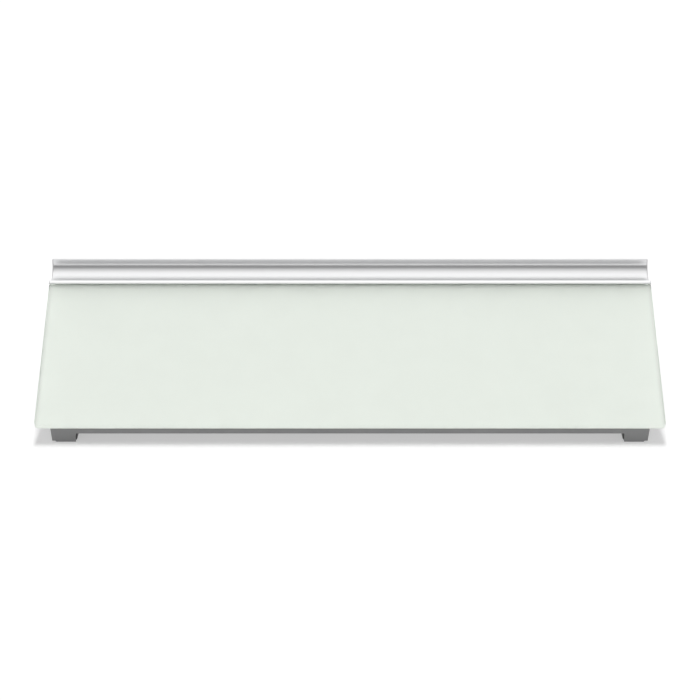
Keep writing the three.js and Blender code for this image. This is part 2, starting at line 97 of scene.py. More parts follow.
def polish(material, pattern, smooth, rough):
    """Lets a pattern vary the roughness between two values."""
    nodes = material.node_tree.nodes
    links = material.node_tree.links
    spread = nodes.new("ShaderNodeMapRange")
    spread.inputs["From Min"].default_value = pattern_low
    spread.inputs["From Max"].default_value = pattern_high
    spread.inputs["To Min"].default_value = smooth
    spread.inputs["To Max"].default_value = rough
    links.new(pattern, spread.inputs["Value"])
    links.new(spread.outputs["Result"], nodes["Principled BSDF"].inputs["Roughness"])


def relief(material, pattern, depth):
    """Adds a bump of this depth to those that the material already has."""
    nodes = material.node_tree.nodes
    links = material.node_tree.links
    normal = nodes["Principled BSDF"].inputs["Normal"]
    bump = nodes.new("ShaderNodeBump")
    bump.inputs["Distance"].default_value = depth
    links.new(pattern, bump.inputs["Height"])
    if normal.is_linked:
        links.new(normal.links[0].from_socket, bump.inputs["Normal"])
    links.new(bump.outputs["Normal"], normal)


def moulded_finish(name, colour):
    """Spark-textured plastic: a fine grain, and slow changes of shine over the moulding."""
    material = start_finish(name, colour, roughness=0.55)
    flow = grain(material, scale=28.0, detail=3.0)
    sheen = grain(material, scale=90.0, detail=4.0)
    spark = grain(material, scale=2200.0, detail=3.0)
    dark = tuple((1 - flow_spread) * part for part in colour)
    light = tuple((1 + flow_spread) * part for part in colour)
    tone(material, flow, dark, light)
    polish(material, sheen, smooth=0.5, rough=0.62)
    relief(material, spark, depth=0.00003)
    return material


def place_piece(name, mesh, material, slot, *stands_for):
    """Adds a finished mesh as a piece that stands for these nodes."""
    piece = bpy.data.objects.new(name, mesh)
    bpy.context.scene.collection.objects.link(piece)
    mesh.materials.clear()
    mesh.materials.append(material)
    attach(piece, "root")
    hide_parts(*stands_for)


def plain_mesh(shape):
    """The shape's mesh with its modifiers worked in. The shape itself is removed."""
    seen = shape.evaluated_get(bpy.context.evaluated_depsgraph_get())
    mesh = bpy.data.meshes.new_from_object(seen)
    bpy.data.objects.remove(shape)
    return mesh


def smooth_faces(mesh, degrees):
    """Shades a mesh smooth, apart from edges sharper than this."""
    mesh.shade_smooth()
    mesh.set_sharp_from_angle(angle=math.radians(degrees))


def moulded_mesh(node_name, edge):
    """A node's mesh as flat faces, with every sharp edge rounded by this radius."""
    loose = bmesh.new()
    loose.from_mesh(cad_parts[node_name].data)
    bmesh.ops.remove_doubles(loose, verts=loose.verts, dist=weld_distance)
    bmesh.ops.dissolve_limit(loose, angle_limit=flat_within, verts=loose.verts, edges=loose.edges)
    mesh = bpy.data.meshes.new(node_name)
    loose.to_mesh(mesh)
    loose.free()
    shape = bpy.data.objects.new(node_name, mesh)
    bpy.context.scene.collection.objects.link(shape)
    rounding = shape.modifiers.new("rounded edges", "BEVEL")
    rounding.width = edge
    rounding.segments = rounding_steps
    rounding.limit_method = "ANGLE"
    rounding.angle_limit = rounded_from
    rounding.use_clamp_overlap = False
    rounding.harden_normals = True
    return plain_mesh(shape)


charcoal_plastic = moulded_finish("charcoal plastic", charcoal)
for side in ("left", "right"):
    leg_mesh = moulded_mesh(f"{side}_leg", leg_edge)
    place_piece(f"{side}_leg_moulding", leg_mesh, charcoal_plastic, "dark_plastic", f"{side}_leg")

# Foot pads
# Soft black rubber pads are pressed into shallow recesses under the legs. Round ribs across each pad's
# underside grip the desk.
pad_black = (0.04, 0.04, 0.04)
pad_corner = 0.002
pad_edge = 0.0004
pad_rib_radius = 0.0005
pad_rib_count = 9
pad_rib_sides = 12
pad_rib_inset = 0.0016

pad_rubber = start_finish("pad rubber", pad_black, roughness=0.85)
blotches = grain(pad_rubber, scale=160.0, detail=4.0)
tone(pad_rubber, blotches, dark=(0.036, 0.036, 0.036), light=(0.045, 0.045, 0.045))
polish(pad_rubber, grain(pad_rubber, scale=400.0, detail=2.0), smooth=0.78, rough=0.92)
relief(pad_rubber, grain(pad_rubber, scale=3000.0, detail=2.0), depth=0.00003)


def math_node(nodes, operation, second=None):
    """A node that does one sum, with its second value where that is fixed."""
    node = nodes.new("ShaderNodeMath")
    node.operation = operation
    if second is not None:
        node.inputs[1].default_value = second
    return node


def started_tree(name, inputs):
    """A tree of geometry nodes with these inputs, each given as a label and a kind."""
    tree = bpy.data.node_groups.new(name, "GeometryNodeTree")
    tree.interface.new_socket("Geometry", in_out="OUTPUT", socket_type="NodeSocketGeometry")
    for label, kind in inputs:
        tree.interface.new_socket(label, in_out="INPUT", socket_type=f"NodeSocket{kind}")
    return tree


def ended_tree(tree, settings, shape):
    """The tree with its end added: the shape made real, in the material of the Finish input."""
    real = tree.nodes.new("GeometryNodeRealizeInstances")
    coated = tree.nodes.new("GeometryNodeSetMaterial")
    result = tree.nodes.new("NodeGroupOutput")
    tree.links.new(shape, real.inputs["Geometry"])
    tree.links.new(real.outputs["Geometry"], coated.inputs["Geometry"])
    tree.links.new(settings.outputs["Finish"], coated.inputs["Material"])
    tree.links.new(coated.outputs["Geometry"], result.inputs["Geometry"])
    return tree


def grip_rib_tree():
    """Round bars side by side along Y, each lying along X."""
    inputs = [("Count", "Int"), ("Pitch", "Float"), ("Length", "Float"), ("Radius", "Float")]
    tree = started_tree("grip ribs", inputs + [("First", "Vector"), ("Finish", "Material")])
    nodes = tree.nodes
    links = tree.links
    sizes = nodes.new("NodeGroupInput")
    half = math_node(nodes, "MULTIPLY", 0.5)
    minus_half = math_node(nodes, "MULTIPLY", -0.5)
    start = nodes.new("ShaderNodeCombineXYZ")
    end = nodes.new("ShaderNodeCombineXYZ")
    bar = nodes.new("GeometryNodeCurvePrimitiveLine")
    ring = nodes.new("GeometryNodeCurvePrimitiveCircle")
    ring.inputs["Resolution"].default_value = pad_rib_sides
    rib = nodes.new("GeometryNodeCurveToMesh")
    rib.inputs["Fill Caps"].default_value = True
    step = nodes.new("ShaderNodeCombineXYZ")
    row = nodes.new("GeometryNodeMeshLine")
    laid = nodes.new("GeometryNodeInstanceOnPoints")
    links.new(sizes.outputs["Length"], half.inputs[0])
    links.new(sizes.outputs["Length"], minus_half.inputs[0])
    links.new(minus_half.outputs[0], start.inputs["X"])
    links.new(half.outputs[0], end.inputs["X"])
    links.new(start.outputs[0], bar.inputs["Start"])
    links.new(end.outputs[0], bar.inputs["End"])
    links.new(sizes.outputs["Radius"], ring.inputs["Radius"])
    links.new(bar.outputs["Curve"], rib.inputs["Curve"])
    links.new(ring.outputs["Curve"], rib.inputs["Profile Curve"])
    links.new(sizes.outputs["Pitch"], step.inputs["Y"])
    links.new(sizes.outputs["Count"], row.inputs["Count"])
    links.new(sizes.outputs["First"], row.inputs["Start Location"])
    links.new(step.outputs[0], row.inputs["Offset"])
    links.new(row.outputs["Mesh"], laid.inputs["Points"])
    links.new(rib.outputs["Mesh"], laid.inputs["Instance"])
    return ended_tree(tree, sizes, laid.outputs["Instances"])


def grown_mesh(name, tree, settings, start_mesh=None):
    """The mesh that a node tree makes from these named settings."""
    shape = bpy.data.objects.new(name, start_mesh or bpy.data.meshes.new(name))
    bpy.context.scene.collection.objects.link(shape)
    growth = shape.modifiers.new(name, "NODES")
    growth.node_group = tree
    for socket in tree.interface.items_tree:
        if socket.in_out == "INPUT" and socket.name in settings:
            growth[socket.identifier] = settings[socket.name]
    return plain_mesh(shape)


def joined_mesh(name, meshes):
    """Several meshes as one."""
    whole = bmesh.new()
    for mesh in meshes:
        whole.from_mesh(mesh)
    joined = bpy.data.meshes.new(name)
    whole.to_mesh(joined)
    whole.free()
    return joined


def sheet_mesh(name, width, length, thickness, corner, edge, base=0.0, corner_steps=12, edge_steps=4):
    """A flat plate about the origin, standing on its base, with round corners and round edges."""
    turns = [math.pi / 2 * step / edge_steps for step in range(edge_steps + 1)]
    lower = [(edge * (1 - math.sin(turn)), base + edge * (1 - math.cos(turn))) for turn in turns]
    upper = [(inset, 2 * base + thickness - height) for inset, height in reversed(lower)]
    sheet = bmesh.new()
    rings = []
    for inset, height in lower + upper:
        ring = []
        for quarter in range(4):
            turn_start = math.pi / 2 * quarter - math.pi / 2
            across = (width / 2 - corner) * (1 if quarter in (0, 1) else -1)
            along = (length / 2 - corner) * (1 if quarter in (1, 2) else -1)
            for step in range(corner_steps + 1):
                angle = turn_start + math.pi / 2 * step / corner_steps
                x = across + (corner - inset) * math.cos(angle)
                y = along + (corner - inset) * math.sin(angle)
                ring.append(sheet.verts.new((x, y, height)))
        rings.append(ring)
    count = len(rings[0])
    for below, above in zip(rings, rings[1:]):
        for i in range(count):
            j = (i + 1) % count
            sheet.faces.new((below[i], below[j], above[j], above[i]))
    sheet.faces.new(list(reversed(rings[0])))
    sheet.faces.new(rings[-1])
    mesh = bpy.data.meshes.new(name)
    sheet.to_mesh(mesh)
    sheet.free()
    smooth_faces(mesh, degrees=40)
    return mesh


grip_ribs = grip_rib_tree()
for end in ("front", "rear"):
    for side in ("left", "right"):
        pad_node = f"foot_pad_{end}_{side}"
        pad_low, pad_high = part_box(pad_node)
        middle = (pad_low + pad_high) / 2
        width = pad_high.x - pad_low.x
        length = pad_high.y - pad_low.y
        body = sheet_mesh(
            pad_node,
            width,
            length,
            pad_high.z - pad_rib_radius,
            pad_corner,
            pad_edge,
            base=pad_rib_radius,
        )
        body.transform(Matrix.Translation((middle.x, middle.y, 0.0)))
        rib_run = length - 2 * pad_rib_inset - 2 * pad_rib_radius
        first_rib = Vector((middle.x, middle.y - rib_run / 2, pad_rib_radius))
        ribs = grown_mesh(
            "ribs",
            grip_ribs,
            {
                "Count": pad_rib_count,
                "Pitch": rib_run / (pad_rib_count - 1),
                "Length": width - 2 * pad_rib_inset,
                "Radius": pad_rib_radius,
                "First": first_rib,
                "Finish": pad_rubber,
            },
        )
        smooth_faces(ribs, degrees=40)
        pad_mesh = joined_mesh(pad_node, [body, ribs])
        place_piece(f"grip_pad_{end}_{side}", pad_mesh, pad_rubber, "pad_rubber", pad_node)

# Deck
# A ribbed tray under the glass, with the front apron and its covers over the feet, a ledge for the
# rail and a rear flange. It is moulded in mid-grey plastic.
deck_edge = 0.0003
mid_grey = (0.285, 0.286, 0.288)
grey_plastic = moulded_finish("grey plastic", mid_grey)
deck_mesh = moulded_mesh("deck", deck_edge)
place_piece("deck_moulding", deck_mesh, grey_plastic, "grey_plastic", "deck")

# Leg screws
# Countersunk screws go down through the tray into posts in the legs. They are zinc-plated steel, with a
# rolled thread and a cross recess.
slope = math.radians(27.6)
glass_width = 0.4572
glass_run = 0.1396
glass_thickness = 0.004
glass_seam = 0.0004
glass_edge_height = 0.011
arris_height = glass_edge_height + glass_thickness * math.cos(slope)
board_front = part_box("glass_panel")[0].y - glass_seam * math.sin(slope)
screw_radius = 0.0013
screw_head_radius = 0.0027
screw_head_rim = 0.0001
screw_head_depth = 0.0014
screw_tip = 0.0012
thread_depth = 0.00035
thread_pitch = 0.0011
thread_half_width = 0.32 * thread_pitch
thread_root_share = 0.96
thread_steps = 20
recess_span = 0.0031
recess_width = 0.00062
recess_depth = 0.0011
recess_end_span = 0.34
recess_end_width = 0.6
recess_overrun = 0.001

zinc = start_finish("zinc plate", (0.6, 0.61, 0.63), roughness=0.3, metallic=1.0)
tone(zinc, grain(zinc, scale=300.0, detail=2.0), dark=(0.55, 0.57, 0.6), light=(0.66, 0.65, 0.62))
polish(zinc, grain(zinc, scale=1200.0, detail=3.0), smooth=0.24, rough=0.38)
relief(zinc, grain(zinc, scale=4000.0, detail=2.0), depth=0.000006)


def on_slope(run, rise):
    """Depth and height of a point from the front arris, up along the glass and square off it."""
    depth = board_front + run * math.cos(slope) - rise * math.sin(slope)
    return depth, arris_height + run * math.sin(slope) + rise * math.cos(slope)


def turned_mesh(shape, profile, sides=32):
    """Adds a form turned about Z to a bmesh. The points of radius and height start and end on Z."""
    rings = []
    for radius, height in profile:
        if radius == 0:
            rings.append([shape.verts.new((0.0, 0.0, height))])
            continue
        ring = []
        for side in range(sides):
            turn = 2 * math.pi * side / sides
            ring.append(shape.verts.new((radius * math.cos(turn), radius * math.sin(turn), height)))
        rings.append(ring)
    for below, above in zip(rings, rings[1:]):
        for i in range(sides):
            j = (i + 1) % sides
            lower = [below[i % len(below)], below[j % len(below)]]
            upper = [above[j % len(above)], above[i % len(above)]]
            shape.faces.new(list(dict.fromkeys(lower + upper)))


def screw_mesh(name, head, length, face):
    """A screw along Z with its tip up: a head, a tapering thread and a cross recess in its face."""
    shape = bmesh.new()
    core = screw_radius - thread_depth
    shank_start = head[-1][1]
    profile = head + [(core, shank_start), (core, length - screw_tip), (0, length)]
    turned_mesh(shape, profile)
    turns = (length - screw_tip - shank_start) / thread_pitch
    ridge = []
    for step in range(int(turns * thread_steps) + 1):
        angle = 2 * math.pi * step / thread_steps
        height = shank_start + thread_pitch * (0.5 + step / thread_steps)
        if height > length - screw_tip / 2:
            break
        direction = Vector((math.cos(angle), math.sin(angle), 0.0))
        fade = min(1.0, (length - height) / (2 * screw_tip))
        crest = core + thread_depth * fade
        root = core * thread_root_share
        up = Vector((0.0, 0.0, thread_half_width))
        centre = Vector((0.0, 0.0, height))
        ridge.append(
            [
                shape.verts.new(centre + direction * root - up),
                shape.verts.new(centre + direction * crest),
                shape.verts.new(centre + direction * root + up),
            ]
        )
    for before, after in zip(ridge, ridge[1:]):
        for i in range(3):
            j = (i + 1) % 3
            shape.faces.new((before[i], after[i], after[j], before[j]))
    shape.faces.new(ridge[0])
    shape.faces.new(reversed(ridge[-1]))
    bmesh.ops.recalc_face_normals(shape, faces=shape.faces)
    mesh = bpy.data.meshes.new(name)
    shape.to_mesh(mesh)
    shape.free()
    screw = bpy.data.objects.new(name, mesh)
    bpy.context.scene.collection.objects.link(screw)
    cutters = []
    for quarter in (0, 1):
        wing = bmesh.new()
        bmesh.ops.create_cube(wing, size=1.0)
        for corner in wing.verts:
            deep = corner.co.z > 0
            span = recess_span * (recess_end_span if deep else 1.0)
            thick = recess_width * (recess_end_width if deep else 1.0)
            sink = recess_depth if deep else -recess_overrun
            corner.co = Vector((corner.co.x * span, corner.co.y * thick, face + sink))
        bmesh.ops.rotate(wing, verts=wing.verts, matrix=Matrix.Rotation(math.pi / 2 * quarter, 3, "Z"))
        wing_mesh = bpy.data.meshes.new("wing")
        wing.to_mesh(wing_mesh)
        wing.free()
        cutter = bpy.data.objects.new("wing", wing_mesh)
        bpy.context.scene.collection.objects.link(cutter)
        cutters.append(cutter)
        cut = screw.modifiers.new("recess", "BOOLEAN")
        cut.operation = "DIFFERENCE"
        cut.object = cutter
    mesh = plain_mesh(screw)
    for cutter in cutters:
        bpy.data.objects.remove(cutter)
    smooth_faces(mesh, degrees=35)
    return mesh


def screw_tree():
    """Puts the screw at each seat along the seat's axis, each one turned by its own chance amount."""
    inputs = [("Seats", "Geometry"), ("Screw", "Object"), ("Largest Turn", "Float"), ("Seed", "Int")]
    tree = started_tree("screws in place", inputs + [("Finish", "Material")])
    nodes = tree.nodes
    links = tree.links
    settings = nodes.new("NodeGroupInput")
    axis = nodes.new("GeometryNodeInputNamedAttribute")
    axis.data_type = "FLOAT_VECTOR"
    axis.inputs["Name"].default_value = "axis"
    aim = nodes.new("FunctionNodeAlignRotationToVector")
    aim.axis = "Z"
    chance = nodes.new("FunctionNodeRandomValue")
    chance.data_type = "FLOAT"
    turn = nodes.new("FunctionNodeAxisAngleToRotation")
    turned = nodes.new("FunctionNodeRotateRotation")
    turned.rotation_space = "LOCAL"
    screw = nodes.new("GeometryNodeObjectInfo")
    placed = nodes.new("GeometryNodeInstanceOnPoints")
    links.new(axis.outputs["Attribute"], aim.inputs["Vector"])
    links.new(settings.outputs["Largest Turn"], chance.inputs[3])
    links.new(settings.outputs["Seed"], chance.inputs["Seed"])
    links.new(chance.outputs[1], turn.inputs["Angle"])
    links.new(aim.outputs["Rotation"], turned.inputs["Rotation"])
    links.new(turn.outputs["Rotation"], turned.inputs["Rotate By"])
    links.new(settings.outputs["Screw"], screw.inputs["Object"])
    links.new(settings.outputs["Seats"], placed.inputs["Points"])
    links.new(screw.outputs["Geometry"], placed.inputs["Instance"])
    links.new(turned.outputs["Rotation"], placed.inputs["Rotation"])
    return ended_tree(tree, settings, placed.outputs["Instances"])


def fasten(name, screw, seats, seed, stands_for):
    """Adds one mesh of screws at these seats, each a point and an axis towards the tip."""
    points = bpy.data.meshes.new(name)
    points.from_pydata([seat for seat, axis in seats], [], [])
    axes = points.attributes.new("axis", "FLOAT_VECTOR", "POINT")
    for i, (seat, axis) in enumerate(seats):
        axes.data[i].vector = axis
    pattern = bpy.data.objects.new(name, screw)
    settings = {"Screw": pattern, "Largest Turn": math.pi / 2, "Seed": seed, "Finish": zinc}
    mesh = grown_mesh(name, screws_in_place, settings, points)
    bpy.data.objects.remove(pattern)
    place_piece(name, mesh, zinc, "screw_steel", *stands_for)


screws_in_place = screw_tree()
into_board = Vector((0.0, math.sin(slope), -math.cos(slope)))
leg_screw_rise = -0.0059
leg_screw_runs = {"front": 0.018, "middle": 0.066, "rear": 0.114}
leg_screw_length = 0.011
flat_head = [
    (0, 0),
    (screw_head_radius - screw_head_rim, 0),
    (screw_head_radius, screw_head_rim),
    (screw_radius, screw_head_depth),
]
leg_screw = screw_mesh("leg screw", flat_head, leg_screw_length, face=0.0)
leg_seats = []
leg_screw_nodes = []
for side in ("left", "right"):
    for spot, run in leg_screw_runs.items():
        node_name = f"leg_screw_{side}_{spot}"
        low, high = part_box(node_name)
        depth, height = on_slope(run, leg_screw_rise)
        leg_seats.append((Vector(((low.x + high.x) / 2, depth, height)), into_board))
        leg_screw_nodes.append(node_name)
fasten("leg_screws", leg_screw, leg_seats, seed=3, stands_for=leg_screw_nodes)

# Back panel
# A flat cover closes the back behind the legs, level with the rail's skirt. It is moulded in the deck's
# grey plastic, with two ribs inside that stiffen it.
panel_edge = 0.0003
panel_mesh = moulded_mesh("back_panel", panel_edge)
place_piece("back_panel_moulding", panel_mesh, grey_plastic, "grey_plastic", "back_panel")

# Panel screws
# Shorter countersunk screws, plated like the leg screws, hold the panel to the legs and to the deck's
# rear flange.
panel_screw_length = 0.008
panel_screw_nodes = [
    "panel_screw_left_low",
    "panel_screw_left_high",
    "panel_screw_right_low",
    "panel_screw_right_high",
    "panel_screw_middle_left",
    "panel_screw_middle_right",
]
panel_screw = screw_mesh("panel screw", flat_head, panel_screw_length, face=0.0)
panel_seats = []
for node_name in panel_screw_nodes:
    low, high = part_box(node_name)
    seat = Vector(((low.x + high.x) / 2, high.y, (low.z + high.z) / 2))
    panel_seats.append((seat, Vector((0.0, -1.0, 0.0))))
fasten("panel_screws", panel_screw, panel_seats, seed=11, stands_for=panel_screw_nodes)

# Accessory rail
# One aluminium extrusion with a satin anodised finish: a lip over the glass, a round groove for pens, a
# leaning back wall and a skirt. The die leaves fine lines along it.
layer_gap = 0.0002
seat_gap = 0.0003
lip_cover = 0.00195
lip_thickness = 0.0015
lip_nose = 0.0006
lip_reach = 0.00295
crest_round = 0.0005
rail_wall = 0.0015
cove_radius = 0.016
cove_end = 1.5 * math.pi + math.radians(20)
groove_depth = 0.0092
wall_setback = 0.0028
groove_corner = 0.0026
wall_height = 0.0053
wall_lean = math.radians(8)
wall_top_thickness = 0.0025
wall_root_thickness = 0.004
wall_top_round = 0.0004
skirt_drop = 0.0217
skirt_thickness = 0.002
soft_corner_steps = 10
cove_steps = 48
rail_weld = 1e-6

lip_top = layer_gap + lip_thickness
lip_front = glass_run - lip_cover
web_front = glass_run + seat_gap
cove_rise = cove_radius - groove_depth
crest_angle = math.asin((cove_rise - lip_top) / cove_radius)
cove_run = lip_front + lip_reach + cove_radius * math.cos(crest_angle)
rail_bottom = -groove_depth - rail_wall
foot_depth, foot_height = on_slope(
    cove_run + cove_radius * math.cos(cove_end) - wall_setback * math.sin(cove_end),
    cove_rise + cove_radius * math.sin(cove_end) + wall_setback * math.cos(cove_end),
)
wall_front = foot_depth - wall_height * math.tan(wall_lean)
wall_top = foot_height + wall_height
rail_back = foot_depth + wall_root_thickness
skirt_front = rail_back - skirt_thickness
skirt_bottom = foot_height - skirt_drop


def cove_arc(radius, start, stop):
    """Points on a circle about the groove's centre, from one angle to another."""
    angles = [start + (stop - start) * step / cove_steps for step in range(cove_steps + 1)]
    return [on_slope(cove_run + radius * math.cos(a), cove_rise + radius * math.sin(a)) for a in angles]


def rounded(corners):
    """An outline with each corner softened over the length that goes with it."""
    outline = []
    for i, (corner, length) in enumerate(corners):
        here = Vector(corner)
        if not length:
            outline.append(here)
            continue
        start = here + (Vector(corners[i - 1][0]) - here).normalized() * length
        end = here + (Vector(corners[(i + 1) % len(corners)][0]) - here).normalized() * length
        for step in range(soft_corner_steps + 1):
            t = step / soft_corner_steps
            outline.append(start * (1 - t) ** 2 + here * 2 * t * (1 - t) + end * t**2)
    return outline


def chamber(inset):
    """The hollow between the web, the back of the groove and the bottom wall, drawn in by an inset."""
    radius = cove_radius + rail_wall + inset
    front = web_front + rail_wall + inset
    floor = rail_bottom + rail_wall + inset
    floor_angle = math.pi + math.asin((cove_rise - floor) / radius)
    web_angle = math.pi + math.acos((cove_run - front) / radius)
    return [on_slope(front, floor)] + cove_arc(radius, web_angle, floor_angle)


def section_mesh(outlines):
    """Closed outlines of depth and height as edges, for the extrusion to fill."""
    points = []
    edges = []
    for outline in outlines:
        first = len(points)
        count = len(outline)
        points += [(depth, height, 0.0) for depth, height in outline]
        edges += [(first + i, first + (i + 1) % count) for i in range(count)]
    mesh = bpy.data.meshes.new("section")
    mesh.from_pydata(points, edges, [])
    return mesh


def extrusion_tree():
    """Fills a section and draws it out along X from one end to the other."""
    inputs = [("Section", "Geometry"), ("Left End", "Float"), ("Length", "Float"), ("Finish", "Material")]
    tree = started_tree("extrusion", inputs)
    nodes = tree.nodes
    links = tree.links
    sizes = nodes.new("NodeGroupInput")
    outline = nodes.new("GeometryNodeMeshToCurve")
    filled = nodes.new("GeometryNodeFillCurve")
    drawn = nodes.new("GeometryNodeExtrudeMesh")
    drawn.inputs["Individual"].default_value = False
    near_end = nodes.new("GeometryNodeFlipFaces")
    whole = nodes.new("GeometryNodeJoinGeometry")
    closed = nodes.new("GeometryNodeMergeByDistance")
    closed.inputs["Distance"].default_value = rail_weld
    start = nodes.new("ShaderNodeCombineXYZ")
    turned = nodes.new("GeometryNodeTransform")
    turned.inputs["Rotation"].default_value = Euler((math.pi / 2, 0.0, math.pi / 2))
    links.new(sizes.outputs["Section"], outline.inputs["Mesh"])
    links.new(outline.outputs["Curve"], filled.inputs["Curve"])
    links.new(filled.outputs["Mesh"], drawn.inputs["Mesh"])
    links.new(sizes.outputs["Length"], drawn.inputs["Offset Scale"])
    links.new(filled.outputs["Mesh"], near_end.inputs["Mesh"])
    links.new(drawn.outputs["Mesh"], whole.inputs["Geometry"])
    links.new(near_end.outputs["Mesh"], whole.inputs["Geometry"])
    links.new(whole.outputs["Geometry"], closed.inputs["Geometry"])
    links.new(sizes.outputs["Left End"], start.inputs["X"])
    links.new(start.outputs[0], turned.inputs["Translation"])
    links.new(closed.outputs["Geometry"], turned.inputs["Geometry"])
    return ended_tree(tree, sizes, turned.outputs["Geometry"])


rail_corners = [
    (on_slope(lip_front, layer_gap), lip_nose),
    (on_slope(lip_front, lip_top), lip_nose),
    (on_slope(lip_front + lip_reach, lip_top), crest_round),
    *[(point, 0) for point in cove_arc(cove_radius, math.pi + crest_angle, cove_end)[1:]],
    ((foot_depth, foot_height), groove_corner),
    ((wall_front, wall_top), wall_top_round),
    ((wall_front + wall_top_thickness, wall_top), wall_top_round),
    ((rail_back, foot_height), 0),
    ((rail_back, skirt_bottom), 0),
    ((skirt_front, skirt_bottom), 0),
]
bottom_run = (skirt_front - board_front + rail_bottom * math.sin(slope)) / math.cos(slope)
rail_corners += [
    (on_slope(bottom_run, rail_bottom), 0),
    (on_slope(web_front, rail_bottom), 0),
    (on_slope(web_front, layer_gap), 0),
]
rail_outline = rounded(rail_corners)

anodised = (0.91, 0.912, 0.918)
satin_aluminium = start_finish("satin anodised aluminium", anodised, roughness=0.3, metallic=1.0)
die_lines = grain(satin_aluminium, scale=1.0, detail=3.0, stretch=(2.0, 2600.0, 2600.0))
streaks = grain(satin_aluminium, scale=1.0, detail=3.0, stretch=(1.5, 500.0, 500.0))
etch = grain(satin_aluminium, scale=5000.0, detail=2.0)
tone(satin_aluminium, streaks, dark=(0.89, 0.893, 0.9), light=(0.93, 0.932, 0.936))
polish(satin_aluminium, die_lines, smooth=0.32, rough=0.38)
relief(satin_aluminium, die_lines, depth=0.0000025)
relief(satin_aluminium, etch, depth=0.000003)

extrusion = extrusion_tree()
cap_thickness = 0.0008
rail_length = glass_width - 2 * cap_thickness
rail_mesh = grown_mesh(
    "rail",
    extrusion,
    {"Left End": -rail_length / 2, "Length": rail_length, "Finish": satin_aluminium},
    section_mesh([rail_outline, chamber(0.0)]),
)
smooth_faces(rail_mesh, degrees=30)
place_piece("rail_extrusion", rail_mesh, satin_aluminium, "satin_aluminium", "accessory_rail")

# Rail end caps
# Thin silver-grey mouldings close the rail's two ends. Each has the rail's outline, and a peg holds it in
# the rail's hollow.
peg_inset = 0.0004

cap_plastic = start_finish("silver-grey plastic", (0.78, 0.78, 0.785), roughness=0.45)
fleck = grain(cap_plastic, scale=900.0, detail=3.0)
tone(cap_plastic, fleck, dark=(0.765, 0.765, 0.77), light=(0.795, 0.795, 0.8))
polish(cap_plastic, grain(cap_plastic, scale=200.0, detail=2.0), smooth=0.4, rough=0.5)
relief(cap_plastic, grain(cap_plastic, scale=2600.0, detail=2.0), depth=0.00001)
for side in ("left", "right"):
    cap_node = f"rail_end_cap_{side}"
    low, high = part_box(cap_node)
    plate_start = low.x if side == "left" else high.x - cap_thickness
    peg_start = low.x + cap_thickness / 2 if side == "left" else low.x
    peg_length = high.x - low.x - cap_thickness / 2
    plate_mesh = grown_mesh(
        "cap",
        extrusion,
        {"Left End": plate_start, "Length": cap_thickness, "Finish": cap_plastic},
        section_mesh([rail_outline]),
    )
    peg_mesh = grown_mesh(
        "peg",
        extrusion,
        {"Left End": peg_start, "Length": peg_length, "Finish": cap_plastic},
        section_mesh([chamber(peg_inset)]),
    )
    cap_mesh = joined_mesh(cap_node, [plate_mesh, peg_mesh])
    smooth_faces(cap_mesh, degrees=30)
    place_piece(f"end_cap_{side}", cap_mesh, cap_plastic, "cap_plastic", cap_node)

# Rail screws
# Pan-head screws go up through the deck's ledge into the rail's bottom wall. They are steel, plated like
# the leg screws.
rail_screw_length = 0.0055
screw_from_web = 0.0018
ledge_thickness = 0.0025
pan_head_height = 0.0018
rail_screw_run = web_front + rail_wall + screw_from_web
rail_screw_rise = rail_bottom - seat_gap - ledge_thickness - layer_gap
pan_head = [
    (0, -pan_head_height),
    (0.0016, -pan_head_height),
    (0.0021, -0.00165),
    (0.00245, -0.0013),
    (0.00265, -0.0007),
    (screw_head_radius, 0),
    (screw_radius, 0),
]
rail_screw = screw_mesh("rail screw", pan_head, rail_screw_length, face=-pan_head_height)
rail_seats = []
rail_screw_nodes = [f"rail_screw_{number}" for number in range(1, 5)]
for node_name in rail_screw_nodes:
    low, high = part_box(node_name)
    depth, height = on_slope(rail_screw_run, rail_screw_rise)
    rail_seats.append((Vector(((low.x + high.x) / 2, depth, height)), -into_board))
fasten("rail_screws", rail_screw, rail_seats, seed=7, stands_for=rail_screw_nodes)

# Bonding tape
# Four strips of white closed-cell foam tape hold the coated glass to the tray. The solids of the strips
# have the right shape and only get the foam's material.
foam = start_finish("foam tape", (0.72, 0.72, 0.7), roughness=0.9)
tone(foam, grain(foam, scale=700.0, detail=3.0), dark=(0.66, 0.66, 0.64), light=(0.76, 0.76, 0.74))
polish(foam, grain(foam, scale=500.0, detail=2.0), smooth=0.85, rough=0.95)
relief(foam, grain(foam, scale=1500.0, detail=2.0), depth=0.00008)
for spot in ("front", "rear", "left", "right"):
    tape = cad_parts[f"bond_tape_{spot}"]
    tape.data.materials.clear()
    tape.data.materials.append(foam)

# White coat
# The opaque white layer on the back of the glass. It is printed on, so that no air lies between. Its
# colour is darkened along the two ends as painted shade, for the light that the glass loses through its
# edges.
coat_inset = 0.00056
coat_corner = 0.0025
coat_edge = 0.00004
coat_bottom_rise = -0.0045
coat_contact = 0.00002
# Width and level of the painted shade along the coat's two ends.
painted_shade_width = 0.0042
painted_shade_level = 0.92

